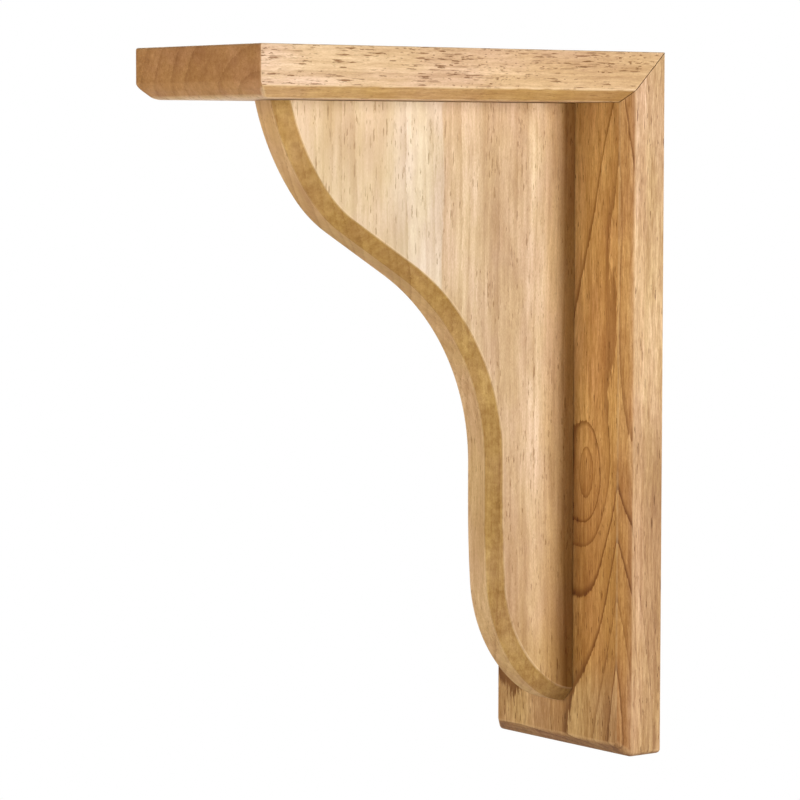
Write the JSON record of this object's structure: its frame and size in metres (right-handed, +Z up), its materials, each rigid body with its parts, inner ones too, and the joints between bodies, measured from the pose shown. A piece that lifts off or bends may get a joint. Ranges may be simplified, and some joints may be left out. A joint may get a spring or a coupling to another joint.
{
  "type": "corbel bracket",
  "caption": "Wooden corbel bracket: chamfered top board mitred to a chamfered back board, with an S-curved chamfered brace set in the corner between them.",
  "frame": {"origin": "middle of the back board's rear face, where the bracket is built in to the wall", "axes": "+Y out of the rear face into the wall, so the top board reaches out along -Y; +Z up; X across the boards"},
  "size_m": [0.107, 0.246, 0.355],
  "materials": {
    "top_board_wood": "sanded, clear satin",
    "back_board_wood": "sanded, clear satin",
    "brace_wood": "sanded, clear satin"
  },
  "bodies": {
    "root": {"top_board": "top_board_wood", "back_board": "back_board_wood", "brace": "brace_wood"}
  },
  "joints": []
}
